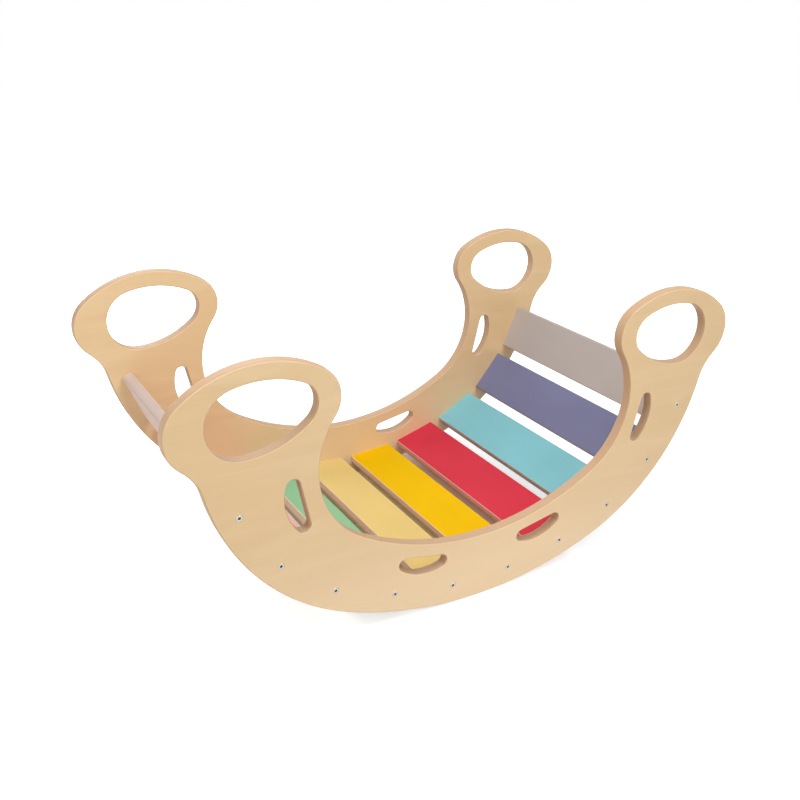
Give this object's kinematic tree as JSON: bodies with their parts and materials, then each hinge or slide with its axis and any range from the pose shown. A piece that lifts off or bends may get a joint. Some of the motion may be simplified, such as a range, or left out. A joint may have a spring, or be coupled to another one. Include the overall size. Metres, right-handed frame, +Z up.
{
  "type": "wooden rocker arch",
  "caption": "Child's wooden rocker arch: two curved plywood side panels with ring handles and hand slots, joined by painted cross slats, resting on its round back.",
  "frame": {"origin": "on the floor, under the middle of the rocker: midway between its two ends and midway between its two side panels", "axes": "+X along the rocker's length, towards its mauve end; +Y across it, towards the rear side panel; +Z up"},
  "size_m": [0.9658, 0.48, 0.4577],
  "materials": {
    "birch_ply": "clear satin lacquer on birch plywood, bare plies at the edges",
    "rose_paint": "matt rose colour on both faces of birch plywood, clear-lacquered edges",
    "coral_paint": "matt coral colour on both faces of birch plywood, clear-lacquered edges",
    "blush_paint": "matt blush colour on both faces of birch plywood, clear-lacquered edges",
    "mint_paint": "matt mint colour on both faces of birch plywood, clear-lacquered edges",
    "straw_paint": "matt straw colour on both faces of birch plywood, clear-lacquered edges",
    "yellow_paint": "matt yellow colour on both faces of birch plywood, clear-lacquered edges",
    "red_paint": "matt red colour on both faces of birch plywood, clear-lacquered edges",
    "aqua_paint": "matt aqua colour on both faces of birch plywood, clear-lacquered edges",
    "periwinkle_paint": "matt periwinkle colour on both faces of birch plywood, clear-lacquered edges",
    "mauve_paint": "matt mauve colour on both faces of birch plywood, clear-lacquered edges",
    "zinc": "bright zinc plating",
    "beech": "bare turned beech"
  },
  "bodies": {
    "root": {"front_side_panel": "birch_ply", "rear_side_panel": "birch_ply", "rose_slat": "rose_paint", "coral_slat": "coral_paint", "blush_slat": "blush_paint", "mint_slat": "mint_paint", "straw_slat": "straw_paint", "yellow_slat": "yellow_paint", "red_slat": "red_paint", "aqua_slat": "aqua_paint", "periwinkle_slat": "periwinkle_paint", "mauve_slat": "mauve_paint", "front_screws": "zinc", "rear_screws": "zinc", "front_dowels": "beech", "rear_dowels": "beech"}
  },
  "joints": []
}
